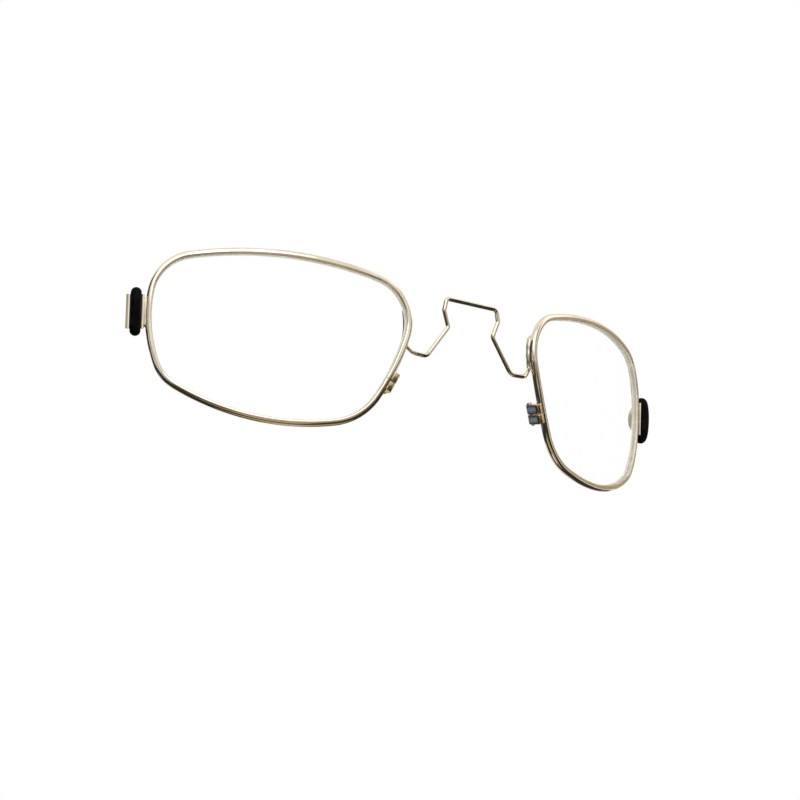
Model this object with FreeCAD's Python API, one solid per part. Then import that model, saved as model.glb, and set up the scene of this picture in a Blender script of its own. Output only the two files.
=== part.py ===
import FreeCAD, Part
import math
import os

from FreeCAD import Vector

# Prescription lens insert for wrap-around sunglasses, in millimetres.
# +Z is up and the front faces -Y, as worn. The origin is the middle of the bridge wire's straight top bar.
# All pieces of a side are made for +X and mirrored to -X.

# ---- driving dimensions ----
LENS_CENTRE = Vector(37.2, 7.1, -10.6)   # middle of the +X lens, on the rim's mid surface
WRAP_ANGLE = 26.0                        # each lens turns back by this much about Z
BASE_RADIUS = 90.0                       # radius of the lens curve, close to a six-base lens

# Lens outline, on the flat plane that touches the lens's middle: towards the temple, then up. Four corner
# arcs, anticlockwise from the upper temple corner, each joined to the next by a long arc tangent to both.
# Each corner is its arc's centre and radius. The long arcs run over the top, nose, bottom and temple sides.
CORNERS = [(15.2, 5.1, 7.7), (-16.7, 4.5, 7.5), (-9.1, -3.6, 11.2), (14.8, -4.4, 6.9)]
SIDE_RADII = [90.0, 50.0, 45.0, 25.0]

RIM_WALL = 1.2          # rim section, from the lens opening outwards
RIM_DEPTH = 1.4         # rim section, front to back
GROOVE_DEPTH = 0.45
GROOVE_WIDTH = 0.6
RIM_GAP = 0.12          # slit that splits the rim between the lock barrels

LENS_THICKNESS = 1.0
LENS_CLEARANCE = 0.03
TONGUE_WIDTH = 0.5

WIRE_RADIUS = 0.4
BAR_HALF = 5.75                          # half width of the straight top bar
KNEE = (6.2, -2.2)                       # outward kink of the leg, X and Z
WAIST = (5.1, -5.1)                      # inward kink of the leg
FOOT_BEND = (9.7, -11.2)                 # lowest corner of the leg
HEEL_BEND = (12.9, -11.1)                # corner where the wire turns up behind the rim
BEND_RADII = [0.8, 0.7, 0.7, 1.7, 1.7]   # bar corner, knee, waist, foot bend, heel bend
LEG_HEIGHTS = (1.2, 4.0, 7.2)            # places of the soldered wire end, above the lens centre
LEG_INSET = 0.5          # wire end's centre line, in from the rim's outer wall
LEG_BEND_RADIUS = 12.0
SOLDER_FILM = 0.1                        # gap between wire end and rim that the solder fills
BRIDGE_SOLDER_RADIUS = 0.46
BRIDGE_SOLDER_SINK = 0.32                # solder's centre line, from the wire's towards the rim
BRIDGE_SOLDER_ENDS = (1.0, -0.6)         # where the solder stops, from the wire end's first and last point
SOLDER_CLEARANCE = 0.02                  # between solder and wire

LOCK_HEIGHT = -6.4      # lock's middle, above the lens centre
LOCK_LENGTH = 3.7       # both barrels together
LOCK_PROUD = 1.0
LOCK_FRONT = -0.6       # lock's front and back, from the rim's mid surface
LOCK_BACK = 2.5
LOCK_CORNER = 0.7       # rounding of the lock's two outer edges
SCREW_RADIUS = 0.35
SCREW_CLEARANCE = 0.04
SCREW_OUT = 0.45        # screw axis, out from the rim's outer wall
SCREW_BEHIND = 1.7      # screw axis, behind the rim's mid surface
SCREW_TIP = 0.3         # how far the tip stands below the lower barrel
SCREW_HEAD_RADIUS = 0.5
SCREW_HEAD_HEIGHT = 0.3
SCREW_SLOT_WIDTH = 0.22
SCREW_SLOT_DEPTH = 0.15

BUMPER_HEIGHT = 1.85    # bumper's middle, above the lens centre
CLIP_STANDOFF = 0.08    # solder bed between rim and clip
INNER_PLATE = 0.5
OUTER_PLATE = 0.75
PLATE_HALF_HEIGHT = 3.1
PLATE_FRONT = -0.9      # straight front edge of both plates
PLATE_DEPTH = 2.4
FOLD_HALF_HEIGHT = 1.3
FOLD_THICKNESS = 0.45
PAD_THICKNESS = 1.95
PAD_HALF_HEIGHT = 4.4
PAD_HALF_DEPTH = 1.5
PAD_CENTRE_BEHIND = -0.75
PAD_ROUNDING = 1.6      # half thickness the pad would have without its flat sides
SOLDER_BED_HALF = 2.6   # solder under the clip: half length and half depth
SOLDER_BED_HALF_DEPTH = 0.55

CONE_FRONT = 3.0        # reach of the walls in front of and behind the lens centre
CONE_BACK = 8.0
PAST = 9.0              # how far a cutting tool runs past what it cuts
LOCK_REACH = 3.5        # how far the slit runs each way from the rim's outer wall
SINK = 1.0              # how far a piece starts inside the rim before it is trimmed to the rim's wall
OUTLINE_STEP = 2.0      # spacing of the points that carry the walls, along the outline
SEARCH_STEP = 0.1


# ---- lens outline and the cone-shaped walls on it ----
def side_centre(first, second, radius):
    """Centre of the long arc that touches two corner arcs from outside."""
    (x1, z1, r1), (x2, z2, r2) = first, second
    gap = math.hypot(x2 - x1, z2 - z1)
    reach1, reach2 = radius - r1, radius - r2
    along = (reach1 ** 2 - reach2 ** 2 + gap ** 2) / (2 * gap)
    aside = math.sqrt(reach1 ** 2 - along ** 2)
    ux, uz = (x2 - x1) / gap, (z2 - z1) / gap
    return x1 + ux * along - uz * aside, z1 + uz * along + ux * aside


def outline_arcs():
    """Arcs of the outline, anticlockwise: centre, radius, and the first and last outward angle."""
    sides = []
    for i, radius in enumerate(SIDE_RADII):
        first, second = CORNERS[i], CORNERS[(i + 1) % len(CORNERS)]
        x, z = side_centre(first, second, radius)
        start = math.atan2(first[1] - z, first[0] - x)
        end = math.atan2(second[1] - z, second[0] - x)
        sides.append((x, z, radius, start, end))
    arcs = []
    for i, (x, z, radius) in enumerate(CORNERS):
        arcs.append((x, z, radius, sides[i - 1][4], sides[i][3]))
        arcs.append(sides[i])
    return [(x, z, r, start, start + (end - start) % (2 * math.pi)) for x, z, r, start, end in arcs]


ARCS = outline_arcs()


def outward_at(parameter):
    """Outward direction at a parameter, whose whole part picks the arc and the rest the place along it."""
    start, end = ARCS[int(parameter)][3:]
    angle = start + (end - start) * (parameter % 1.0)
    return Vector(math.cos(angle), 0, math.sin(angle))


def offset_point(parameter, offset):
    """Point on the flat outline, moved outwards."""
    x, z, radius = ARCS[int(parameter)][:3]
    return Vector(x, 0, z) + outward_at(parameter) * (radius + offset)


def outline_parameters(step):
    """Parameters all round the outline, evenly spaced along each arc and at most a step apart."""
    parameters = []
    for i, (x, z, radius, start, end) in enumerate(ARCS):
        count = math.ceil(radius * (end - start) / step)
        parameters += [i + k / count for k in range(count)]
    return parameters


def closed_curve(points):
    curve = Part.BSplineCurve()
    curve.interpolate(Points=points, PeriodicFlag=True)
    return curve


def wall_cone(offset):
    """Solid inside the wall that stands square on the lens curve, offset outwards from the lens outline."""
    points = [offset_point(p, offset) for p in outline_parameters(OUTLINE_STEP)]
    wires = []
    for depth in (-CONE_FRONT, CONE_BACK):
        scale = (BASE_RADIUS - depth) / BASE_RADIUS
        ring = [Vector(p.x * scale, depth, p.z * scale) for p in points]
        wires.append(Part.Wire([closed_curve(ring).toShape()]))
    return Part.makeLoft(wires, True, True)


def curved_shell(front, back):
    """Space between two spheres about the lens curve's centre, from front to back of the mid surface."""
    centre = Vector(0, BASE_RADIUS, 0)
    return Part.makeSphere(BASE_RADIUS - front, centre).cut(Part.makeSphere(BASE_RADIUS - back, centre))


class Seat:
    """Axes at a height on the rim's outer wall: along the rim (up), outwards, and back through the rim."""

    def __init__(self, height, temporal):
        choices = [p for p in outline_parameters(SEARCH_STEP)
                   if (offset_point(p, 0).x > 0) == temporal]
        parameter = min(choices, key=lambda p: abs(self.on_rim(p).z - height))
        self.point = self.on_rim(parameter)
        self.back = (Vector(0, BASE_RADIUS, 0) - self.point).normalize()
        tangent = Vector(0, -1, 0).cross(outward_at(parameter))
        along = tangent - self.back * tangent.dot(self.back)
        self.along = along.normalize() * (1 if along.z > 0 else -1)
        outward = self.along.cross(self.back)
        self.outward = outward * (1 if outward.x * self.point.x > 0 else -1)

    def on_rim(self, parameter):
        centre = Vector(0, BASE_RADIUS, 0)
        return centre + (offset_point(parameter, RIM_WALL) - centre).normalize() * BASE_RADIUS

    def at(self, along, outward, back):
        return self.point + self.along * along + self.outward * outward + self.back * back

    def prism(self, corners, low, high):
        """Solid with an outline in outward and back coordinates, from low to high along the rim."""
        points = [self.at(low, out, back) for out, back in corners]
        face = Part.Face(Part.makePolygon(points + points[:1]))
        return face.extrude(self.along * (high - low))

    def block(self, along, outward, back):
        """Box between pairs of limits along the seat's three axes."""
        front, behind = back
        corners = [(outward[0], front), (outward[1], front), (outward[1], behind), (outward[0], behind)]
        return self.prism(corners, along[0], along[1])

    def rod(self, radius, low, high, outward, back):
        return Part.makeCylinder(radius, high - low, self.at(low, outward, back), self.along)


def worn(shape):
    """Moves a piece from the lens's own axes to its place on the +X side."""
    placed = shape.copy()
    placed.rotate(Vector(0, 0, 0), Vector(0, 0, 1), WRAP_ANGLE)
    placed.translate(LENS_CENTRE)
    return placed


def worn_point(point):
    turned = FreeCAD.Rotation(Vector(0, 0, 1), WRAP_ANGLE).multVec(point)
    return turned + LENS_CENTRE


# ---- rim and lens ----
def make_rim(lock):
    outer = wall_cone(RIM_WALL)
    ring = outer.cut(wall_cone(0)).common(curved_shell(-RIM_DEPTH / 2, RIM_DEPTH / 2))
    groove = wall_cone(GROOVE_DEPTH).common(curved_shell(-GROOVE_WIDTH / 2, GROOVE_WIDTH / 2))
    return ring.cut(groove).cut(lock_slit(lock))


def make_lens():
    body = wall_cone(-LENS_CLEARANCE).common(curved_shell(-LENS_THICKNESS / 2, LENS_THICKNESS / 2))
    tongue = wall_cone(GROOVE_DEPTH - LENS_CLEARANCE)
    tongue = tongue.common(curved_shell(-TONGUE_WIDTH / 2, TONGUE_WIDTH / 2))
    return body.fuse(tongue).removeSplitter()


# ---- lock ----
def lock_slit(seat):
    return seat.block((-RIM_GAP / 2, RIM_GAP / 2), (-LOCK_REACH, LOCK_REACH), (-LOCK_REACH, LOCK_REACH))


def make_barrel(seat, low, high):
    """Half of the lock: a rounded block brazed to the rim's outer wall, bored for the screw."""
    block = seat.block((low, high), (-SINK, LOCK_PROUD), (LOCK_FRONT, LOCK_BACK))
    rounded = [e for e in block.Edges if is_along(e, seat) and seat_out(e, seat) > LOCK_PROUD / 2]
    block = block.makeFillet(LOCK_CORNER, rounded)
    bore = seat.rod(SCREW_RADIUS + SCREW_CLEARANCE, low - PAST, high + PAST, SCREW_OUT, SCREW_BEHIND)
    return block.cut(wall_cone(RIM_WALL)).cut(bore)


def is_along(edge, seat):
    direction = edge.Vertexes[1].Point - edge.Vertexes[0].Point
    return abs(direction.normalize().dot(seat.along)) > 0.99


def seat_out(edge, seat):
    return (edge.Vertexes[0].Point - seat.point).dot(seat.outward)


def make_screw(seat):
    top = LOCK_LENGTH / 2
    shank = seat.rod(SCREW_RADIUS, -top - SCREW_TIP, top, SCREW_OUT, SCREW_BEHIND)
    head_top = top + SCREW_HEAD_HEIGHT
    head = seat.rod(SCREW_HEAD_RADIUS, top, head_top, SCREW_OUT, SCREW_BEHIND)
    rim_edge = [e for e in head.Edges if e.Curve.TypeId == "Part::GeomCircle"
                and (e.Curve.Center - seat.point).dot(seat.along) > top + SCREW_HEAD_HEIGHT / 2]
    head = head.makeFillet(SCREW_HEAD_HEIGHT / 3, rim_edge)
    slot = seat.block((head_top - SCREW_SLOT_DEPTH, head_top + PAST),
                      (SCREW_OUT - PAST, SCREW_OUT + PAST),
                      (SCREW_BEHIND - SCREW_SLOT_WIDTH / 2, SCREW_BEHIND + SCREW_SLOT_WIDTH / 2))
    return shank.fuse(head).cut(slot).removeSplitter()


# ---- bumper ----
def half_ellipse_plate(seat, near, far):
    """Plate with a straight front edge and a half-elliptic back, between two distances from the rim."""
    middle = seat.at(0, near, PLATE_FRONT)
    top = seat.at(PLATE_HALF_HEIGHT, near, PLATE_FRONT)
    behind = seat.at(0, near, PLATE_FRONT + PLATE_DEPTH)
    ellipse = Part.Ellipse(top, behind, middle)
    first = 0 if (ellipse.value(math.pi / 2) - middle).dot(seat.back) > 0 else math.pi
    arc = Part.ArcOfEllipse(ellipse, first, first + math.pi)
    straight = Part.LineSegment(arc.EndPoint, arc.StartPoint)
    face = Part.Face(Part.Wire([arc.toShape(), straight.toShape()]))
    return face.extrude(seat.outward * (far - near))


def bumper_layers():
    inner = CLIP_STANDOFF + INNER_PLATE
    outer = inner + PAD_THICKNESS
    return inner, outer


def make_clip(seat):
    inner, outer = bumper_layers()
    inner_plate = half_ellipse_plate(seat, CLIP_STANDOFF, inner)
    outer_plate = half_ellipse_plate(seat, outer, outer + OUTER_PLATE)
    back = PLATE_FRONT + PLATE_DEPTH
    fold = half_ellipse_plate(seat, inner - INNER_PLATE / 2, outer + OUTER_PLATE / 2)
    fold = fold.common(seat.block((-FOLD_HALF_HEIGHT, FOLD_HALF_HEIGHT), (0, outer + PAST),
                                  (back - FOLD_THICKNESS, back + PAST)))
    return inner_plate.fuse([outer_plate, fold]).removeSplitter()


def make_pad(seat):
    """Rubber disc with an elliptic outline and round edges, flat where the plates hold it."""
    inner, outer = bumper_layers()
    middle = (inner + outer) / 2
    ball = Part.makeSphere(1.0)
    axes = [seat.along * PAD_HALF_HEIGHT, seat.back * PAD_HALF_DEPTH, seat.outward * PAD_ROUNDING]
    centre = seat.at(0, middle, PAD_CENTRE_BEHIND)
    matrix = FreeCAD.Matrix(axes[0].x, axes[1].x, axes[2].x, centre.x,
                            axes[0].y, axes[1].y, axes[2].y, centre.y,
                            axes[0].z, axes[1].z, axes[2].z, centre.z,
                            0, 0, 0, 1)
    return ball.transformGeometry(matrix).common(seat.block((-PAST, PAST), (inner, outer), (-PAST, PAST)))


def make_clip_solder(seat):
    half = SOLDER_BED_HALF
    depth = SOLDER_BED_HALF_DEPTH
    bed = seat.block((-half, half), (-SINK, CLIP_STANDOFF), (-depth, depth))
    return bed.cut(wall_cone(RIM_WALL))


# ---- bridge wire ----
def leg_point(height):
    """Centre of the soldered wire end where it lies on the back face of the rim."""
    seat = Seat(height, False)
    return seat.at(0, -LEG_INSET, RIM_DEPTH / 2 + SOLDER_FILM + WIRE_RADIUS)


def bent_wire(corners, radii, wire_radius):
    """Round wire along straight runs joined by tangent arcs, one radius for each inner corner."""
    edges = []
    start = corners[0]
    for before, corner, after, radius in zip(corners, corners[1:], corners[2:], radii):
        back = (before - corner).normalize()
        ahead = (after - corner).normalize()
        half = back.getAngle(ahead) / 2
        reach = radius / math.tan(half)
        bisector = (back + ahead).normalize()
        first = corner + back * reach
        last = corner + ahead * reach
        middle = corner + bisector * (radius / math.sin(half) - radius)
        edges.append(Part.LineSegment(start, first).toShape())
        edges.append(Part.Arc(first, middle, last).toShape())
        start = last
    edges.append(Part.LineSegment(start, corners[-1]).toShape())
    path = Part.Wire(edges)
    circle = Part.makeCircle(wire_radius, corners[0], corners[1] - corners[0])
    return path.makePipeShell([Part.Wire([circle])], True, False)


def wire_corners():
    """Corners of the +X half of the bridge wire, from the end of the bar to the soldered tip."""
    bends = [Vector(BAR_HALF, 0, 0)]
    bends += [Vector(x, 0, z) for x, z in (KNEE, WAIST, FOOT_BEND, HEEL_BEND)]
    return bends + [worn_point(leg_point(h)) for h in LEG_HEIGHTS]


def make_bridge_wire(wire_radius):
    side = wire_corners()
    radii = BEND_RADII + [min(BEND_RADII), LEG_BEND_RADIUS]
    other = [Vector(-p.x, p.y, p.z) for p in side]
    return bent_wire(other[::-1] + side, radii[::-1] + radii, wire_radius)


def make_bridge_solder(rim, wire):
    """Solder that fills the corner between the wire end and the rim's back face."""
    low = leg_point(LEG_HEIGHTS[0] + BRIDGE_SOLDER_ENDS[0])
    high = leg_point(LEG_HEIGHTS[2] + BRIDGE_SOLDER_ENDS[1])
    middle = leg_point(LEG_HEIGHTS[1])
    sunk = Seat(LEG_HEIGHTS[1], False).back * -BRIDGE_SOLDER_SINK
    corners = [worn_point(p + sunk) for p in (low, middle, high)]
    blob = bent_wire(corners, [LEG_BEND_RADIUS], BRIDGE_SOLDER_RADIUS)
    return blob.cut(rim).cut(wire)


# ---- everything ----
def make_side():
    lock = Seat(LOCK_HEIGHT, False)
    bumper = Seat(BUMPER_HEIGHT, True)
    end = LOCK_LENGTH / 2
    pieces = {
        "rim": make_rim(lock),
        "lens": make_lens(),
        "lock_upper": make_barrel(lock, RIM_GAP / 2, end),
        "lock_lower": make_barrel(lock, -end, -RIM_GAP / 2),
        "lock_screw": make_screw(lock),
        "bumper_clip": make_clip(bumper),
        "bumper_pad": make_pad(bumper),
        "clip_solder": make_clip_solder(bumper),
    }
    return {name: worn(shape) for name, shape in pieces.items()}


def main():
    side = make_side()
    wire = make_bridge_wire(WIRE_RADIUS)
    cutter = make_bridge_wire(WIRE_RADIUS + SOLDER_CLEARANCE)
    side["bridge_solder"] = make_bridge_solder(side["rim"], cutter)
    os.makedirs("parts", exist_ok=True)
    wire.exportStep("parts/bridge_wire.step")
    for name, shape in side.items():
        shape.exportStep("parts/right_" + name + ".step")
        shape.mirror(Vector(0, 0, 0), Vector(1, 0, 0)).exportStep("parts/left_" + name + ".step")
    for name, shape in list(side.items()) + [("wire", wire)]:
        box = shape.BoundBox
        print(name, shape.isValid(), len(shape.Solids), round(shape.Volume, 3),
              [round(v, 2) for v in (box.XMin, box.XMax, box.YMin, box.YMax, box.ZMin, box.ZMax)])


main()
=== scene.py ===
import math

import bpy
import numpy as np
from mathutils import Matrix, Vector


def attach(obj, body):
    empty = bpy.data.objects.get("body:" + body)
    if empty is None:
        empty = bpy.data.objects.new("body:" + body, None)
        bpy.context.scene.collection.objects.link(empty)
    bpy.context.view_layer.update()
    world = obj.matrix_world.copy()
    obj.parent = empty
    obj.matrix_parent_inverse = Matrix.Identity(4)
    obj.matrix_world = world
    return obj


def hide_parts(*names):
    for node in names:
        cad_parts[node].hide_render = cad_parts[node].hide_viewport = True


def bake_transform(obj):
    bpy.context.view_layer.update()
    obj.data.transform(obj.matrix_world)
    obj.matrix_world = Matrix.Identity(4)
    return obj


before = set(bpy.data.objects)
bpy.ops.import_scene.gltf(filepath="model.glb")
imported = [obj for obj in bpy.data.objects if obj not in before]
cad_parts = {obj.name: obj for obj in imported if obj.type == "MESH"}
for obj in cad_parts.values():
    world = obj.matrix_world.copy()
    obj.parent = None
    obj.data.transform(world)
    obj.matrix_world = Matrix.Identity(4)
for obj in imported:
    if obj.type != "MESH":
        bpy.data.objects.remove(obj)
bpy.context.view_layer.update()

# Prescription lens insert, in metres in the model's own frame: +Z up, front towards -Y,
# origin at the middle of the bridge wire's top bar. Lengths below are in millimetres, as in the design.
MM = 0.001

# ---- design dimensions that the visual pieces follow ----
LENS_CENTRE = np.array([37.2, 7.1, -10.6])
WRAP_ANGLE = math.radians(26.0)
BASE_RADIUS = 90.0
# Corner arcs of the lens outline (centre and radius), and the radii of the long arcs from each to the next.
CORNERS = [(15.2, 5.1, 7.7), (-16.7, 4.5, 7.5), (-9.1, -3.6, 11.2), (14.8, -4.4, 6.9)]
SIDE_RADII = [90.0, 50.0, 45.0, 25.0]
RIM_WALL, RIM_DEPTH, RIM_GAP = 1.2, 1.4, 0.12
GROOVE_DEPTH, GROOVE_WIDTH = 0.45, 0.6
LENS_EDGE = 1.0
WIRE_RADIUS = 0.4
BAR_HALF, KNEE, WAIST = 5.75, (6.2, -2.2), (5.1, -5.1)
FOOT_BEND, HEEL_BEND = (9.7, -11.2), (12.9, -11.1)
BEND_RADII = [0.8, 0.7, 0.7, 1.7, 1.7, 0.7, 12.0]
LEG_HEIGHTS = (1.2, 4.0, 7.2)
LEG_INSET, SOLDER_FILM = 0.5, 0.1
LOCK_HEIGHT, LOCK_LENGTH, LOCK_PROUD = -6.4, 3.7, 1.0
LOCK_FRONT, LOCK_BACK = -0.6, 2.5
SCREW_RADIUS, SCREW_OUT, SCREW_BEHIND, SCREW_TIP = 0.35, 0.45, 1.7, 0.3
SCREW_HEAD_RADIUS, SCREW_HEAD_HEIGHT = 0.5, 0.3
SLOT_WIDTH, SLOT_DEPTH = 0.22, 0.15
BUMPER_HEIGHT, CLIP_STANDOFF = 1.85, 0.08
INNER_PLATE, OUTER_PLATE = 0.5, 0.75
PLATE_HALF_HEIGHT, PLATE_FRONT, PLATE_DEPTH = 3.1, -0.9, 2.4
FOLD_HALF_HEIGHT, FOLD_THICKNESS = 1.3, 0.45
PAD_THICKNESS, PAD_HALF_HEIGHT, PAD_HALF_DEPTH, PAD_CENTRE_BEHIND = 1.95, 4.4, 1.5, -0.75

# ---- finer shape of the visual pieces ----
CROWN_CENTRE, CROWN_POWER = 0.45, 2.3   # rim's crowned outside: a superellipse's middle and power
CROWN_POINTS, RIM_RINGS = 41, 300
GROOVE_EASE, GROOVE_LIP, GROOVE_TAPER = 0.05, 0.02, 0.8     # worn edges, lip, and floor as a share of the mouth
LENS_FACE_ROWS, LENS_COLUMNS = 14, 160  # rings of points on each face of a lens, and points in each ring
LENS_MIDDLE, LENS_MARGIN = 0.04, 0.97   # innermost and outermost ring of a face, as shares of the outline
LENS_TIP_GAP, LENS_WALL_GAP, LENS_CHAMFER = 0.06, 0.04, 0.06
LENS_BEVEL_FOOT, LENS_BEVEL_TIP = 0.27, 0.05    # half widths of the tongue in the groove
SEAM_START, SEAM_END, SEAM_RINGS = 0.6, 0.7, 40     # solder seam, above the wire end's first and last heights
SEAM_WAVE, SEAM_RIPPLE = 0.07, 0.04     # unevenness of the seam, as shares of its radius
SOLDER_RADIUS, SOLDER_SINK = 0.54, 0.30
LOCK_CORNER, LOCK_INNER_CORNER, LOCK_FOOT_CORNER, LOCK_BEVEL = 0.7, 0.3, 0.2, 0.14
LOCK_FRONT_SUNK, LOCK_BACK_SUNK = 0.35, 0.08    # how far the barrels' feet reach into the rim
SCREW_CLEARANCE, SCREW_CHAMFER, SHANK_RELIEF = 0.04, 0.14, 0.02
THREAD_PITCH, THREAD_DEPTH, THREAD_START, THREAD_END = 0.25, 0.07, 0.2, 0.3
THREAD_CREST = (0.4, 0.6)   # where a thread's flat crest lies, as shares of the pitch
HEAD_DOME, HEAD_CHAMFER = 0.22, (0.06, 0.05)
CUTTER_ABOVE, CUTTER_REACH = 0.5, 1     # how far the slot's cutter passes the screw's head
PLATE_POINTS, PLATE_POWER, PLATE_BEVEL = 40, 0.9, 0.12
FOLD_EXTRA, FOLD_INSET, FOLD_OVERLAP, FOLD_BEVEL = 0.05, 0.07, 0.2, 0.02
FOLD_INNER_CORNER, FOLD_OUTER_CORNER = 0.1, 0.15
PAD_ROWS, PAD_COLUMNS = 41, 96
PARTING_LINE, PARTING_LINE_TURN = 0.02, 0.06    # height of the pad's moulding line and its width in radians
SOLDER_BED_HALF, SOLDER_BED_DEPTH, SOLDER_BED_CORNER = 2.6, 0.55, 0.4
SOLDER_BED_SUNK, SOLDER_BED_OVERLAP, SOLDER_BED_BEVEL = 0.3, 0.05, 0.05
DOME_HEIGHT, DOME_STOP = 0.6, 0.15      # wire end: height as a share of its radius, and the last turn left open

# ---- camera ----
CAMERA_AZIMUTH, CAMERA_ELEVATION = math.radians(-38.0), math.radians(-12.0)
CAMERA_ROLL = math.radians(2.73)
CAMERA_DISTANCE, CAMERA_ASIDE, CAMERA_ABOVE = 964.2, -7.88, -5.80
CAMERA_AIM = np.array([0.0, 7.1, -10.6])
CAMERA_LENS = 242.0

SPHERE_CENTRE = np.array([0.0, BASE_RADIUS, 0.0])
SEARCH_STEP, TANGENT_STEP = 0.05, 0.1   # lengths along the outline, for finding a seat and its direction


# ---- lens outline ----
def side_centre(first, second, radius):
    """Centre of the long arc that touches two corner arcs from outside."""
    start, end = np.array(first[:2]), np.array(second[:2])
    gap = np.linalg.norm(end - start)
    reach = radius - first[2]
    along = (reach ** 2 - (radius - second[2]) ** 2 + gap ** 2) / (2 * gap)
    aside = math.sqrt(reach ** 2 - along ** 2)
    ahead = (end - start) / gap
    return start + ahead * along + np.array([-ahead[1], ahead[0]]) * aside


def outline_arcs():
    """Arcs of the outline, anticlockwise: centre, radius, and the first and last outward angle."""
    sides = []
    for i, radius in enumerate(SIDE_RADII):
        first, second = CORNERS[i], CORNERS[(i + 1) % len(CORNERS)]
        centre = side_centre(first, second, radius)
        start, end = np.array(first[:2]) - centre, np.array(second[:2]) - centre
        sides.append((centre, radius, math.atan2(start[1], start[0]), math.atan2(end[1], end[0])))
    arcs = []
    for i, (x, z, radius) in enumerate(CORNERS):
        arcs.append((np.array([x, z]), radius, sides[i - 1][3], sides[i][2]))
        arcs.append(sides[i])
    return [(c, r, start, start + (end - start) % (2 * math.pi)) for c, r, start, end in arcs]


ARCS = outline_arcs()
ARC_LENGTHS = np.array([r * (end - start) for centre, r, start, end in ARCS])
OUTLINE_LENGTH = ARC_LENGTHS.sum()


def outline_at(length):
    """Point on the flat outline and outward direction, at a length along it."""
    length = length % OUTLINE_LENGTH
    index = int(np.searchsorted(np.cumsum(ARC_LENGTHS), length, side="right")) % len(ARCS)
    centre, radius, start, end = ARCS[index]
    angle = start + (length - ARC_LENGTHS[:index].sum()) / radius
    outward = np.array([math.cos(angle), math.sin(angle)])
    return centre + outward * radius, outward


def on_lens(length, outward, back, shrink=1.0):
    """Point at a length along the outline, moved out along the lens curve and back through it, in lens axes.

    shrink scales the outline towards the lens's middle."""
    point, direction = outline_at(length)
    flat = (point + direction * outward) * shrink
    ray = np.array([flat[0], 0, flat[1]]) - SPHERE_CENTRE
    return SPHERE_CENTRE + ray / np.linalg.norm(ray) * (BASE_RADIUS - back)


def worn(points):
    """From lens axes to the +X lens's place."""
    c, s = math.cos(WRAP_ANGLE), math.sin(WRAP_ANGLE)
    turned = points @ np.array([[c, s, 0], [-s, c, 0], [0, 0, 1]])
    return turned + LENS_CENTRE


class Seat:
    """Axes at a height on the rim's outer wall: along the rim (up), outwards, and back through the rim."""

    def __init__(self, height, temporal):
        lengths = [d for d in np.arange(0, OUTLINE_LENGTH, SEARCH_STEP)
                   if (outline_at(d)[0][0] > 0) == temporal]
        self.length = min(lengths, key=lambda d: abs(on_lens(d, RIM_WALL, 0)[2] - height))
        self.point = on_lens(self.length, RIM_WALL, 0)
        back = SPHERE_CENTRE - self.point
        self.back = back / np.linalg.norm(back)
        ahead = on_lens(self.length + TANGENT_STEP, RIM_WALL, 0) - on_lens(self.length - TANGENT_STEP, RIM_WALL, 0)
        ahead -= self.back * (ahead @ self.back)
        self.along = ahead / np.linalg.norm(ahead) * np.sign(ahead[2])
        outward = np.cross(self.along, self.back)
        self.outward = outward * np.sign(outward[0] * self.point[0])

    def at(self, along, outward, back):
        """Points in the worn frame from coordinates along, outwards and back."""
        local = (self.point + np.multiply.outer(np.asarray(along, float), self.along)
                 + np.multiply.outer(np.asarray(outward, float), self.outward)
                 + np.multiply.outer(np.asarray(back, float), self.back))
        return worn(local)


# ---- mesh helpers ----
def make_piece(name, points, faces, side, body, node, material, sharp=40):
    """Mesh piece from points in millimetres on the +X side, mirrored for the left, riding on a CAD body."""
    points = np.array(points, float) * MM
    if side == "left":
        points[:, 0] *= -1
        faces = [tuple(reversed(f)) for f in faces]
    mesh = bpy.data.meshes.new(name)
    mesh.from_pydata(points.tolist(), [], faces)
    mesh.validate()
    mesh.polygons.foreach_set("use_smooth", [True] * len(mesh.polygons))
    mesh.set_sharp_from_angle(angle=math.radians(sharp))
    mesh.materials.append(material)
    piece = bpy.data.objects.new(name, mesh)
    bpy.context.scene.collection.objects.link(piece)
    if body:
        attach(piece, body)
    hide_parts(node)
    return piece


def grid_faces(rows, columns, closed_rows=False, closed_columns=True):
    """Quads of a grid of points, row by row."""
    faces = []
    for i in range(rows if closed_rows else rows - 1):
        for j in range(columns if closed_columns else columns - 1):
            a, b = i * columns + j, i * columns + (j + 1) % columns
            k = (i + 1) % rows
            faces.append((a, b, k * columns + (j + 1) % columns, k * columns + j))
    return faces


def closed_faces(rows, columns):
    """Quads of a closed tube of points, with an end face at each end wound to match the sides."""
    last = (rows - 1) * columns
    ends = [tuple(range(columns - 1, -1, -1)), tuple(range(last, last + columns))]
    return grid_faces(rows, columns) + ends


def outward_facing(points, faces):
    """Turns all faces over if the closed shape is inside out."""
    points = np.asarray(points)
    volume = 0.0
    for f in faces:
        for i in range(1, len(f) - 1):
            volume += points[f[0]] @ np.cross(points[f[i]], points[f[i + 1]])
    return [tuple(reversed(f)) for f in faces] if volume < 0 else faces


def tube(path, radii, sides=24):
    """Closed round tube along a path, with one radius per point and a flat face at each end."""
    path = np.asarray(path, float)
    tangents = np.gradient(path, axis=0)
    tangents /= np.linalg.norm(tangents, axis=1)[:, None]
    across = np.cross(tangents[0], [0.3, 0.8, 0.1])     # any direction that no tube starts along
    rings = []
    for point, tangent, radius in zip(path, tangents, radii):
        across = across - tangent * (across @ tangent)
        across /= np.linalg.norm(across)
        other = np.cross(tangent, across)
        turn = np.linspace(0, 2 * math.pi, sides, endpoint=False)
        rings.append(point + radius * (np.outer(np.cos(turn), across) + np.outer(np.sin(turn), other)))
    points = np.concatenate(rings)
    return points, outward_facing(points, closed_faces(len(path), sides))


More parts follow.
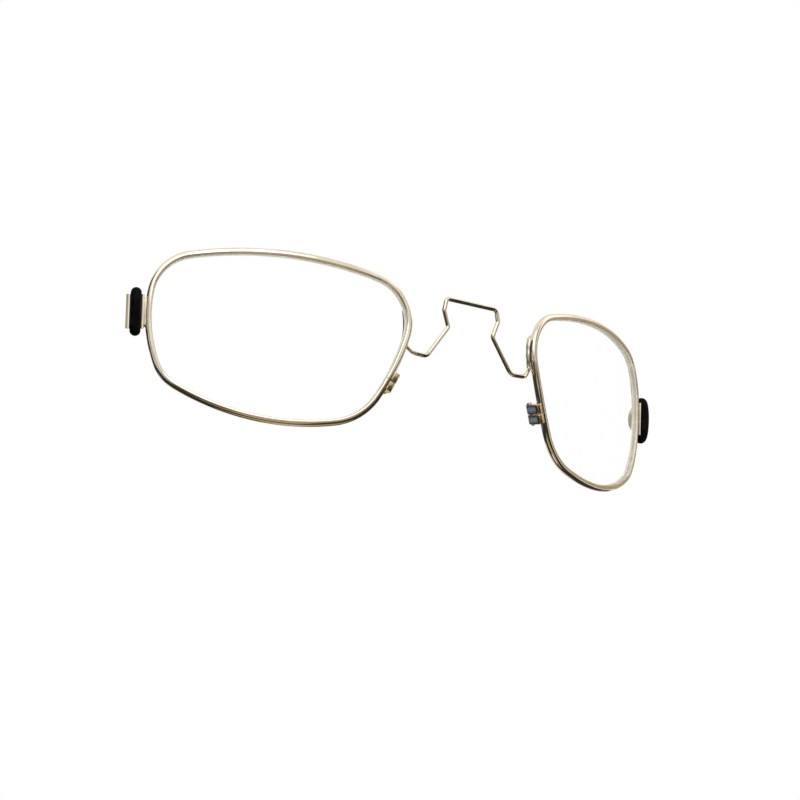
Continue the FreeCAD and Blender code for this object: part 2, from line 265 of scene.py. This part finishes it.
def inset_outline(outline, inset):
    """A closed outline moved inwards by inset."""
    ahead = np.roll(outline, -1, 0) - np.roll(outline, 1, 0)
    ahead /= np.maximum(np.linalg.norm(ahead, axis=1), 1e-9)[:, None]
    normal = np.stack([-ahead[:, 1], ahead[:, 0]], -1)
    turned = np.roll(outline, -1, 0)
    area = (outline[:, 0] * turned[:, 1] - outline[:, 1] * turned[:, 0]).sum()
    return outline + normal * inset * (1 if area > 0 else -1)


def rounded_outline(corners, steps=5):
    """Closed 2-D outline from corners given as (a, b, radius), each rounded by an arc."""
    points = []
    count = len(corners)
    for i in range(count):
        corner = np.array(corners[i][:2], float)
        before = np.array(corners[i - 1][:2], float) - corner
        after = np.array(corners[(i + 1) % count][:2], float) - corner
        before /= np.linalg.norm(before)
        after /= np.linalg.norm(after)
        half = math.acos(np.clip(before @ after, -1, 1)) / 2
        reach = corners[i][2] / math.tan(half)
        middle = (before + after) / np.linalg.norm(before + after)
        centre = corner + middle * corners[i][2] / math.sin(half)
        first, last = corner + before * reach - centre, corner + after * reach - centre
        for k in range(steps + 1):
            mix = first * (1 - k / steps) + last * (k / steps)
            points.append(centre + mix / np.linalg.norm(mix) * corners[i][2])
    return np.array(points)


def rounded_slab(place, outline, low, high, bevel, hole=None):
    """Closed solid with a flat outline, from low to high, its end edges rounded, with a hole if one is given.

    place(along, a, b) puts a point in space; outline and hole hold (a, b) points, as many in each."""
    loops = []
    for turn in np.linspace(0, math.pi / 2, 5)[::-1]:
        loops.append((low + bevel * (1 - math.sin(turn)), inset_outline(outline, bevel * (1 - math.cos(turn)))))
    loops += [(low + high - along, loop) for along, loop in reversed(loops)]
    if hole is not None:
        loops += [(high, hole), (low, hole)]
    points = [place(along, a, b) for along, loop in loops for a, b in loop]
    count = len(outline)
    if hole is None:
        faces = closed_faces(len(loops), count)
    else:
        faces = grid_faces(len(loops), count, closed_rows=True)
    return points, outward_facing(points, faces)


def bent_path(corners, radii, step=0.12):
    """Points along straight runs joined by tangent arcs, close together in the arcs."""
    corners = [np.array(c, float) for c in corners]
    points = [corners[0]]
    for before, corner, after, radius in zip(corners, corners[1:], corners[2:], radii):
        back = (before - corner) / np.linalg.norm(before - corner)
        ahead = (after - corner) / np.linalg.norm(after - corner)
        half = math.acos(np.clip(back @ ahead, -1, 1)) / 2
        reach = radius / math.tan(half)
        middle = (back + ahead) / np.linalg.norm(back + ahead)
        centre = corner + middle * radius / math.sin(half)
        first, last = corner + back * reach - centre, corner + ahead * reach - centre
        turns = max(4, math.ceil(radius * (math.pi - 2 * half) / step))
        for k in range(turns + 1):
            mix = (1 - k / turns) * first + (k / turns) * last
            points.append(centre + mix / np.linalg.norm(mix) * radius)
    points.append(corners[-1])
    filled = [points[0]]
    for start, end in zip(points, points[1:]):
        count = max(1, math.ceil(np.linalg.norm(end - start) / (3 * step)))
        filled += [start + (end - start) * k / count for k in range(1, count + 1)]
    return np.array(filled)


def domed(path, radius, at_start, at_end, rows=6):
    """Path and radii of a rod whose chosen ends narrow to a low dome."""
    path, radii = list(path), [radius] * len(path)
    for wanted, first, second in ((at_start, 0, 1), (at_end, -1, -2)):
        if not wanted:
            continue
        tip = path[first]
        away = (tip - path[second]) / np.linalg.norm(tip - path[second])
        for turn in np.linspace(0, math.pi / 2 - DOME_STOP, rows)[1:]:
            point, size = tip + away * radius * DOME_HEIGHT * math.sin(turn), radius * math.cos(turn)
            where = 0 if first == 0 else len(path)
            path.insert(where, point)
            radii.insert(where, size)
    return np.array(path), radii


def lathe(profile, place, sides=40):
    """Solid of revolution from (along, radius) points, with a flat face at each end."""
    turn = np.linspace(0, 2 * math.pi, sides, endpoint=False)
    points = [place(along, radius * math.cos(t), radius * math.sin(t)) for along, radius in profile for t in turn]
    return points, outward_facing(points, closed_faces(len(profile), sides))


def box(place, along, out, back):
    """Closed box between three pairs of limits."""
    points = [place(a, o, b) for a in along for o in out for b in back]
    faces = [(0, 1, 3, 2), (4, 6, 7, 5), (0, 4, 5, 1), (2, 3, 7, 6), (0, 2, 6, 4), (1, 5, 7, 3)]
    return points, outward_facing(points, faces)


def combined(solids, cut=None):
    """One closed mesh from overlapping solids, less a cutting solid: points and faces in millimetres."""
    objects = []
    for points, faces in solids + ([cut] if cut else []):
        mesh = bpy.data.meshes.new("part")
        mesh.from_pydata([tuple(q) for q in points], [], faces)
        thing = bpy.data.objects.new("part", mesh)
        bpy.context.scene.collection.objects.link(thing)
        objects.append(thing)
    base = objects[0]
    for k, other in enumerate(objects[1:], start=1):
        step = base.modifiers.new("join", "BOOLEAN")
        step.operation = "DIFFERENCE" if cut and k == len(objects) - 1 else "UNION"
        step.solver = "EXACT"
        step.object = other
    bpy.context.view_layer.update()
    done = base.evaluated_get(bpy.context.evaluated_depsgraph_get()).to_mesh()
    points = [tuple(v.co) for v in done.vertices]
    faces = [tuple(f.vertices) for f in done.polygons]
    for thing in objects:
        bpy.data.objects.remove(thing)
    if not faces:
        raise RuntimeError("a boolean left nothing")
    return points, faces


# ---- materials ----
def new_material(name):
    """A node material with its node tree and its surface shader."""
    material = bpy.data.materials.new(name)
    material.use_nodes = True
    tree = material.node_tree
    shader = tree.nodes["Principled BSDF"]
    return material, tree, shader


def noise_of(tree, scale, detail=4.0, stretch=(1, 1, 1)):
    """Noise in the object's own metres; scale counts features per metre."""
    where = tree.nodes.new("ShaderNodeTexCoord")
    shape = tree.nodes.new("ShaderNodeMapping")
    shape.inputs["Scale"].default_value = stretch
    noise = tree.nodes.new("ShaderNodeTexNoise")
    noise.inputs["Scale"].default_value = scale
    noise.inputs["Detail"].default_value = detail
    tree.links.new(where.outputs["Object"], shape.inputs["Vector"])
    tree.links.new(shape.outputs["Vector"], noise.inputs["Vector"])
    return noise.outputs["Fac"]


def ramp_of(tree, value, low, high, low_colour, high_colour):
    """Colour that runs from one to another while a value goes from low to high."""
    ramp = tree.nodes.new("ShaderNodeValToRGB")
    ramp.color_ramp.elements[0].position = low
    ramp.color_ramp.elements[1].position = high
    ramp.color_ramp.elements[0].color = (*low_colour, 1)
    ramp.color_ramp.elements[1].color = (*high_colour, 1)
    tree.links.new(value, ramp.inputs["Fac"])
    return ramp.outputs["Color"]


def range_of(tree, value, low, high):
    """Noise, which mostly lies between 0.3 and 0.7, spread over a range of numbers."""
    spread = tree.nodes.new("ShaderNodeMapRange")
    spread.inputs["From Min"].default_value = 0.3
    spread.inputs["From Max"].default_value = 0.7
    spread.inputs["To Min"].default_value = low
    spread.inputs["To Max"].default_value = high
    tree.links.new(value, spread.inputs["Value"])
    return spread.outputs["Result"]


def mixed(tree, factor, first, colour):
    """A colour output mixed with a fixed colour; sockets 6, 7 and 2 are the node's colour ones."""
    mix = tree.nodes.new("ShaderNodeMix")
    mix.data_type = "RGBA"
    tree.links.new(factor, mix.inputs[0])
    tree.links.new(first, mix.inputs[6])
    mix.inputs[7].default_value = (*colour, 1)
    return mix.outputs[2]


def bumped(tree, shader, height, strength, distance):
    """Lets a height, at most distance metres deep, tilt a shader's surface."""
    bump = tree.nodes.new("ShaderNodeBump")
    bump.inputs["Strength"].default_value = strength
    bump.inputs["Distance"].default_value = distance
    tree.links.new(height, bump.inputs["Height"])
    tree.links.new(bump.outputs["Normal"], shader.inputs["Normal"])


def metal(name, bright, dull, rubbed, roughness):
    """Plated metal: drifting colour, uneven polish, fine polishing marks and plating rubbed along the edges."""
    material, tree, shader = new_material(name)
    shader.inputs["Metallic"].default_value = 1.0
    plating = ramp_of(tree, noise_of(tree, 260), 0.35, 0.65, dull, bright)
    geometry = tree.nodes.new("ShaderNodeNewGeometry")
    edges = tree.nodes.new("ShaderNodeMapRange")
    edges.inputs["From Min"].default_value = 0.56
    edges.inputs["From Max"].default_value = 0.68
    edges.inputs["To Max"].default_value = 0.5
    tree.links.new(geometry.outputs["Pointiness"], edges.inputs["Value"])
    tree.links.new(mixed(tree, edges.outputs["Result"], plating, rubbed), shader.inputs["Base Color"])
    tree.links.new(range_of(tree, noise_of(tree, 500, 5.0), *roughness), shader.inputs["Roughness"])
    bumped(tree, shader, noise_of(tree, 2600, 3.0, (1, 1, 0.35)), 0.02, 0.00002)
    return material


def rubber_material():
    """Moulded black rubber: a slight bloom, a fine orange-peel skin and a soft sheen."""
    material, tree, shader = new_material("moulded_rubber")
    bloom = ramp_of(tree, noise_of(tree, 500, 6.0), 0.42, 0.75,
                    (0.0015, 0.0015, 0.0018), (0.006, 0.006, 0.0065))
    tree.links.new(bloom, shader.inputs["Base Color"])
    tree.links.new(range_of(tree, noise_of(tree, 1800), 0.26, 0.42), shader.inputs["Roughness"])
    shader.inputs["Specular IOR Level"].default_value = 0.03
    bumped(tree, shader, noise_of(tree, 4200, 5.0), 0.25, 0.00004)
    return material


def ground_edge_material():
    """Edge of a lens as it leaves the grinding wheel: frosted, whitish and lightly scored."""
    material, tree, shader = new_material("ground_lens_edge")
    frost = ramp_of(tree, noise_of(tree, 700, 5.0), 0.3, 0.7, (0.74, 0.70, 0.60), (0.88, 0.85, 0.77))
    tree.links.new(frost, shader.inputs["Base Color"])
    tree.links.new(range_of(tree, noise_of(tree, 1500), 0.50, 0.75), shader.inputs["Roughness"])
    shader.inputs["Alpha"].default_value = 0.75
    bumped(tree, shader, noise_of(tree, 5000, 4.0), 0.08, 0.00001)
    return material


def lens_material():
    """Clear coated resin: nearly invisible face on, a faint green sheen painted into its base colour and more
    presence at grazing angles.
    """
    material, tree, shader = new_material("coated_lens")
    shader.inputs["IOR"].default_value = 1.5
    # Painted sheen: the coating's faint green reflection is given as a pale green base colour.
    painted_green_sheen = ramp_of(tree, noise_of(tree, 60), 0.3, 0.7, (0.80, 0.90, 0.85), (0.90, 0.95, 0.93))
    tree.links.new(painted_green_sheen, shader.inputs["Base Color"])
    tree.links.new(range_of(tree, noise_of(tree, 900), 0.02, 0.05), shader.inputs["Roughness"])
    grazing = tree.nodes.new("ShaderNodeLayerWeight")
    grazing.inputs["Blend"].default_value = 0.25
    cover = tree.nodes.new("ShaderNodeMapRange")
    cover.inputs["To Min"].default_value = 0.012
    cover.inputs["To Max"].default_value = 0.05
    tree.links.new(grazing.outputs["Facing"], cover.inputs["Value"])
    tree.links.new(cover.outputs["Result"], shader.inputs["Alpha"])
    bumped(tree, shader, noise_of(tree, 120), 0.02, 0.00001)
    return material


# Each metal: bright and dull colours, the colour where it is rubbed, and the range of its roughness.
PLATING = metal("champagne_plating", (0.80, 0.73, 0.61), (0.70, 0.62, 0.49), (0.84, 0.80, 0.73), (0.06, 0.14))
STEEL = metal("screw_steel", (0.66, 0.67, 0.70), (0.50, 0.51, 0.54), (0.78, 0.78, 0.78), (0.20, 0.36))
BARREL = metal("gold_barrel", (0.74, 0.60, 0.38), (0.58, 0.45, 0.26), (0.74, 0.64, 0.46), (0.14, 0.26))
SOLDER = metal("plated_solder", (0.82, 0.75, 0.62), (0.60, 0.51, 0.38), (0.80, 0.74, 0.62), (0.26, 0.44))
RUBBER = rubber_material()
RESIN = lens_material()
GROUND = ground_edge_material()


# ---- pieces ----
def rim_section():
    """Section of the rim wire as (outward, back) points: a crowned outside and a lens groove with two lips."""
    half, lip = RIM_DEPTH / 2, GROOVE_WIDTH / 2
    reach = RIM_WALL - CROWN_CENTRE
    limit = math.pi - math.acos((CROWN_CENTRE / reach) ** (CROWN_POWER / 2))
    crown = []
    for turn in np.linspace(-limit, limit, CROWN_POINTS):
        c, d = math.cos(turn), math.sin(turn)
        outward = CROWN_CENTRE + reach * math.copysign(abs(c) ** (2 / CROWN_POWER), c)
        crown.append((outward, half * math.copysign(abs(d) ** (2 / CROWN_POWER), d)))
    floor = lip * GROOVE_TAPER
    groove = [(GROOVE_LIP, lip + GROOVE_EASE), (0, lip),
              (GROOVE_DEPTH - GROOVE_EASE, floor), (GROOVE_DEPTH, floor - GROOVE_EASE)]
    return np.array(crown + groove + [(outward, -back) for outward, back in reversed(groove)])


def make_rim(side, seat):
    """Grooved rim wire with a crowned outside, split at the lock."""
    section = rim_section()
    start = seat.length + RIM_GAP / 2
    lengths = np.linspace(start, start + OUTLINE_LENGTH - RIM_GAP, RIM_RINGS)
    points = [worn(on_lens(d, outward, back)) for d in lengths for outward, back in section]
    faces = outward_facing(points, closed_faces(RIM_RINGS, len(section)))
    make_piece(side + "_eyewire", points, faces, side, side + "_wing", side + "_rim", PLATING)


def make_lens(side):
    """Meniscus lens with clear faces and a ground edge, whose tongue stands in the rim's groove."""
    half = LENS_EDGE / 2
    edge = [(-LENS_WALL_GAP - LENS_CHAMFER, half), (-LENS_WALL_GAP, half - LENS_CHAMFER),
            (-LENS_WALL_GAP, LENS_BEVEL_FOOT), (GROOVE_DEPTH - LENS_TIP_GAP, LENS_BEVEL_TIP)]
    profile = [(share, 0, -half) for share in np.linspace(LENS_MIDDLE, LENS_MARGIN, LENS_FACE_ROWS)]
    profile += [(1, outward, -back) for outward, back in edge]
    profile += [(1, outward, back) for outward, back in reversed(edge)]
    profile += [(share, 0, half) for share in np.linspace(LENS_MARGIN, LENS_MIDDLE, LENS_FACE_ROWS)]
    lengths = np.linspace(0, OUTLINE_LENGTH, LENS_COLUMNS, endpoint=False)
    points = [worn(on_lens(d, outward, back, share)) for share, outward, back in profile for d in lengths]
    faces = grid_faces(len(profile), LENS_COLUMNS)
    for first, sign in ((0, 1), ((len(profile) - 1) * LENS_COLUMNS, -1)):
        centre = len(points)
        points.append(np.mean(points[first:first + LENS_COLUMNS], axis=0))
        for k in range(LENS_COLUMNS):
            faces.append((centre, first + (k + 1) % LENS_COLUMNS, first + k)[::sign])
    piece = make_piece(side + "_lens_meniscus", points, outward_facing(points, faces), side, side + "_wing",
                       side + "_lens", RESIN, sharp=25)
    piece.data.materials.append(GROUND)
    for face in piece.data.polygons:
        if LENS_FACE_ROWS <= face.index // LENS_COLUMNS < len(profile) - LENS_FACE_ROWS - 1:
            face.material_index = 1


def leg_point(height, sunk=0.0):
    """Centre of the soldered wire end where it lies on the back face of the rim."""
    seat = Seat(height, False)
    return seat.at(0, -LEG_INSET, RIM_DEPTH / 2 + SOLDER_FILM + WIRE_RADIUS - sunk)


def make_wire(side):
    """Half of the bridge wire, from the middle of the bar to the soldered tip."""
    corners = [(0, 0, 0), (BAR_HALF, 0, 0)]
    corners += [(x, 0, z) for x, z in (KNEE, WAIST, FOOT_BEND, HEEL_BEND)]
    corners += [leg_point(h) for h in LEG_HEIGHTS]
    path, radii = domed(bent_path(corners, BEND_RADII), WIRE_RADIUS, False, True)
    points, faces = tube(path, radii)
    piece = make_piece(side + "_bridge_half", points, faces, side, None, "bridge_wire", PLATING)
    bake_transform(piece)


def make_bridge_solder(side):
    """Uneven run of solder in the corner between the wire end and the rim."""
    heights = np.linspace(LEG_HEIGHTS[0] + SEAM_START, LEG_HEIGHTS[2] + SEAM_END, SEAM_RINGS)
    path = [leg_point(h, SOLDER_SINK) for h in heights]
    share = np.linspace(0, 1, len(path))
    radii = SOLDER_RADIUS * np.sqrt(np.maximum(1 - (2 * share - 1) ** 4, 0.02))
    radii *= 1 + SEAM_WAVE * np.sin(9 * share + 0.6) + SEAM_RIPPLE * np.sin(23 * share)
    points, faces = tube(path, radii)
    make_piece(side + "_bridge_seam", points, faces, side, side + "_wing",
               side + "_bridge_solder", SOLDER)


def make_lock(side, seat):
    """Two barrels brazed to the rim, one each side of its slit, rounded at the back around the screw."""
    outline = rounded_outline([
        (-LOCK_FRONT_SUNK, LOCK_FRONT, LOCK_FOOT_CORNER), (LOCK_PROUD, LOCK_FRONT, LOCK_CORNER),
        (LOCK_PROUD, LOCK_BACK, LOCK_CORNER), (-LOCK_BACK_SUNK, LOCK_BACK, LOCK_INNER_CORNER),
    ], steps=11)
    middle = np.array([SCREW_OUT, SCREW_BEHIND])
    around = outline - middle
    hole = middle + around / np.linalg.norm(around, axis=1)[:, None] * (SCREW_RADIUS + SCREW_CLEARANCE)
    top = LOCK_LENGTH / 2
    for name, low, high in (("upper", RIM_GAP / 2, top), ("lower", -top, -RIM_GAP / 2)):
        points, faces = rounded_slab(seat.at, outline, low, high, LOCK_BEVEL, hole)
        make_piece("%s_barrel_%s" % (side, name), points, faces, side, side + "_wing",
                   "%s_lock_%s" % (side, name), BARREL)


def make_screw(side, seat):
    """Slotted lock screw: domed head, threaded shank and a chamfered tip."""
    top = LOCK_LENGTH / 2
    head_top = top + SCREW_HEAD_HEIGHT
    low = -top - SCREW_TIP
    profile = [(low, SCREW_RADIUS - SCREW_CHAMFER), (low + SCREW_CHAMFER, SCREW_RADIUS - SHANK_RELIEF)]
    for k in range(int((top - low - THREAD_END) / THREAD_PITCH)):
        start = low + THREAD_START + k * THREAD_PITCH
        profile.append((start, SCREW_RADIUS - THREAD_DEPTH))
        profile += [(start + THREAD_PITCH * share, SCREW_RADIUS) for share in THREAD_CREST]
    profile += [(top, SCREW_RADIUS), (top + 0.001, SCREW_HEAD_RADIUS - HEAD_CHAMFER[1]),
                (top + HEAD_CHAMFER[0], SCREW_HEAD_RADIUS)]
    for turn in np.linspace(0, math.pi / 2, 7):
        profile.append((head_top - HEAD_DOME + HEAD_DOME * math.sin(turn),
                        SCREW_HEAD_RADIUS - HEAD_DOME * (1 - math.cos(turn))))

    def place(along, out, back):
        return seat.at(along, SCREW_OUT + out, SCREW_BEHIND + back)

    slot = box(place, (head_top - SLOT_DEPTH, head_top + CUTTER_ABOVE),
               (-CUTTER_REACH, CUTTER_REACH), (-SLOT_WIDTH / 2, SLOT_WIDTH / 2))
    points, faces = combined([lathe(profile, place)], slot)
    make_piece(side + "_slotted_screw", points, faces, side, side + "_screw",
               side + "_lock_screw", STEEL)


def make_clip(side, seat):
    """Folded sheet-metal clip: two plates with straight front edges, joined by a narrow fold behind the pad."""
    inner = CLIP_STANDOFF + INNER_PLATE
    outer = inner + PAD_THICKNESS
    turn = np.linspace(0, math.pi, PLATE_POINTS)
    depths = PLATE_FRONT + PLATE_DEPTH * np.sin(turn) ** PLATE_POWER
    plate = np.stack([PLATE_HALF_HEIGHT * np.cos(turn), depths], -1)

    def place(out, along, back):
        return seat.at(along, out, back)

    plates = [rounded_slab(place, plate, low, high, PLATE_BEVEL)
              for low, high in ((CLIP_STANDOFF, inner), (outer, outer + OUTER_PLATE))]
    rear = PLATE_FRONT + PLATE_DEPTH
    fold_front, fold_rear = rear - FOLD_THICKNESS - FOLD_EXTRA, rear - FOLD_INSET
    strip = rounded_outline([
        (-FOLD_HALF_HEIGHT, fold_front, FOLD_INNER_CORNER), (FOLD_HALF_HEIGHT, fold_front, FOLD_INNER_CORNER),
        (FOLD_HALF_HEIGHT, fold_rear, FOLD_OUTER_CORNER), (-FOLD_HALF_HEIGHT, fold_rear, FOLD_OUTER_CORNER),
    ])
    fold = rounded_slab(place, strip, inner - FOLD_OVERLAP, outer + FOLD_OVERLAP, FOLD_BEVEL)
    points, faces = combined(plates + [fold])
    make_piece(side + "_folded_clip", points, faces, side, side + "_wing",
               side + "_bumper_clip", PLATING)


def make_pad(side, seat):
    """Moulded rubber pad: an elliptic disc with a full round edge and a faint parting line round it."""
    radius = PAD_THICKNESS / 2
    middle = CLIP_STANDOFF + INNER_PLATE + radius
    tall, deep = PAD_HALF_HEIGHT - radius, PAD_HALF_DEPTH - radius
    points = []
    for lift in np.linspace(-math.pi / 2, math.pi / 2, PAD_ROWS):
        proud = radius * math.cos(lift) + PARTING_LINE * math.exp(-(lift / PARTING_LINE_TURN) ** 2)
        for turn in np.linspace(0, 2 * math.pi, PAD_COLUMNS, endpoint=False):
            edge = np.array([deep * math.cos(turn), tall * math.sin(turn)])
            edge /= np.linalg.norm(edge)
            along, back = tall * math.cos(turn) + proud * edge[0], deep * math.sin(turn) + proud * edge[1]
            points.append(seat.at(along, middle + radius * math.sin(lift), PAD_CENTRE_BEHIND + back))
    faces = outward_facing(points, closed_faces(PAD_ROWS, PAD_COLUMNS))
    make_piece(side + "_rubber_bumper", points, faces, side, side + "_wing",
               side + "_bumper_pad", RUBBER)


def make_clip_solder(side, seat):
    """Thin bed of solder under the clip."""
    half, deep, corner = SOLDER_BED_HALF, SOLDER_BED_DEPTH, SOLDER_BED_CORNER
    outline = rounded_outline([(-half, -deep, corner), (half, -deep, corner),
                               (half, deep, corner), (-half, deep, corner)])

    def place(out, along, back):
        return seat.at(along, out, back)

    points, faces = rounded_slab(place, outline, -SOLDER_BED_SUNK, CLIP_STANDOFF + SOLDER_BED_OVERLAP,
                                 SOLDER_BED_BEVEL)
    make_piece(side + "_clip_bed", points, faces, side, side + "_wing", side + "_clip_solder", SOLDER)


lock_seat = Seat(LOCK_HEIGHT, False)
bumper_seat = Seat(BUMPER_HEIGHT, True)
for side in ("left", "right"):
    make_rim(side, lock_seat)
    make_lens(side)
    make_wire(side)
    make_bridge_solder(side)
    make_lock(side, lock_seat)
    make_screw(side, lock_seat)
    make_clip(side, bumper_seat)
    make_pad(side, bumper_seat)
    make_clip_solder(side, bumper_seat)


# ---- floor, light and camera ----
def add_sheet(name, centre, size, turn, material, seen):
    """Flat staged sheet, in metres and degrees: the floor, or a reflector that only reflections can see."""
    w, h = size[0] / 2, size[1] / 2
    mesh = bpy.data.meshes.new(name)
    mesh.from_pydata([(-w, -h, 0), (w, -h, 0), (w, h, 0), (-w, h, 0)], [], [(0, 1, 2, 3)])
    mesh.materials.append(material)
    sheet = bpy.data.objects.new(name, mesh)
    sheet.location = centre
    sheet.rotation_euler = [math.radians(t) for t in turn]
    sheet.visible_camera = seen
    sheet.visible_diffuse = seen
    sheet.visible_shadow = seen
    sheet.visible_transmission = seen
    bpy.context.scene.collection.objects.link(sheet)


def add_light(name, where, size, power):
    """Round soft light that points at the model."""
    lamp = bpy.data.lights.new(name, "AREA")
    lamp.shape = "DISK"
    lamp.size = size
    lamp.energy = power
    light = bpy.data.objects.new(name, lamp)
    light.location = where
    light.rotation_euler = (Vector((0, 0.01, -0.01)) - Vector(where)).to_track_quat("-Z", "Y").to_euler()
    bpy.context.scene.collection.objects.link(light)


def plain(name, colour, roughness):
    """Even paint for the floor and the reflectors."""
    material, tree, shader = new_material(name)
    shader.inputs["Base Color"].default_value = (*colour, 1)
    shader.inputs["Roughness"].default_value = roughness
    return material


add_sheet("floor", (0, 0, -0.30), (6, 6), (0, 0, 0), plain("pale_floor", (0.90, 0.90, 0.90), 0.9), True)
# Reflectors that only the metal and the other shiny surfaces see: name, middle, size, turn and colour.
for name, middle, size, turn, colour in (
    ("flag_below", (0, 0, -0.22), (3.2, 3.2), (0, 0, 0), (0.010, 0.009, 0.008)),
    ("card_front", (-0.24, -0.65, -0.215), (0.32, 0.60), (0, 0, 0), (0.50, 0.42, 0.30)),
    ("card_horizon", (-0.25, -1.20, 0.05), (0.70, 0.50), (90, 0, 0), (0.50, 0.41, 0.26)),
    ("card_low", (0.42, -1.20, -0.05), (0.64, 0.34), (90, 0, 0), (0.05, 0.04, 0.03)),
    ("card_bar", (0.60, -0.65, 0.24), (0.92, 0.40), (0, 90, 0), (0.02, 0.018, 0.015)),
    ("card_umber", (-0.60, -0.90, -0.05), (0.30, 0.60), (0, 90, 0), (0.10, 0.075, 0.045)),
    ("card_brown", (-0.60, -0.35, 0.09), (0.26, 0.30), (0, 90, 0), (0.42, 0.36, 0.25)),
    ("card_dark", (-0.60, 0.95, 0.20), (0.60, 2.10), (0, 90, 0), (0.05, 0.05, 0.06)),
    ("card_olive", (0.02, -0.07, -0.215), (0.26, 0.18), (0, 0, 0), (0.40, 0.33, 0.20)),
    ("card_white", (0.03, 0.03, -0.213), (0.07, 0.07), (0, 0, 0), (0.85, 0.83, 0.80)),
    ("card_blue", (-0.30, 0.23, -0.215), (0.14, 0.14), (0, 0, 0), (0.18, 0.30, 0.66)),
    ("card_cream", (0.075, 0.32, -0.213), (0.35, 0.20), (0, 0, 0), (0.80, 0.76, 0.66)),
    ("card_far", (0.40, 0.91, -0.215), (1.00, 0.98), (0, 0, 0), (0.60, 0.52, 0.40)),
    ("card_tan", (0.60, 0.05, 0.08), (0.26, 0.70), (0, -90, 0), (0.46, 0.37, 0.24)),
):
    add_sheet(name, middle, size, turn, plain(name + "_paint", colour, 0.9), False)
add_light("key", (-0.6, -0.9, 0.9), 1.2, 4)
add_light("fill", (0.9, -0.5, 0.9), 1.2, 1.5)

world = bpy.data.worlds.new("studio")
world.use_nodes = True
world.node_tree.nodes["Background"].inputs["Color"].default_value = (1.0, 1.0, 1.0, 1)
world.node_tree.nodes["Background"].inputs["Strength"].default_value = 1.0
bpy.context.scene.world = world
bpy.context.scene.view_settings.view_transform = "Standard"

# The camera looks at a point beside and above CAMERA_AIM, rolled about its own line of sight.
cos_e, sin_e = math.cos(CAMERA_ELEVATION), math.sin(CAMERA_ELEVATION)
toward_camera = np.array([math.sin(CAMERA_AZIMUTH) * cos_e, -math.cos(CAMERA_AZIMUTH) * cos_e, sin_e])
level = np.array([math.cos(CAMERA_AZIMUTH), math.sin(CAMERA_AZIMUTH), 0])
upright = np.cross(toward_camera, level)
aside = math.cos(CAMERA_ROLL) * level + math.sin(CAMERA_ROLL) * upright
above = math.cos(CAMERA_ROLL) * upright - math.sin(CAMERA_ROLL) * level
place = CAMERA_AIM + CAMERA_ASIDE * aside + CAMERA_ABOVE * above + CAMERA_DISTANCE * toward_camera
axes = np.stack([aside, above, toward_camera], axis=1)
eye = bpy.data.cameras.new("camera")
eye.lens = CAMERA_LENS
camera = bpy.data.objects.new("camera", eye)
camera.matrix_world = Matrix.LocRotScale(Vector(place * MM), Matrix(axes.tolist()).to_quaternion(), None)
bpy.context.scene.collection.objects.link(camera)
bpy.context.scene.camera = camera
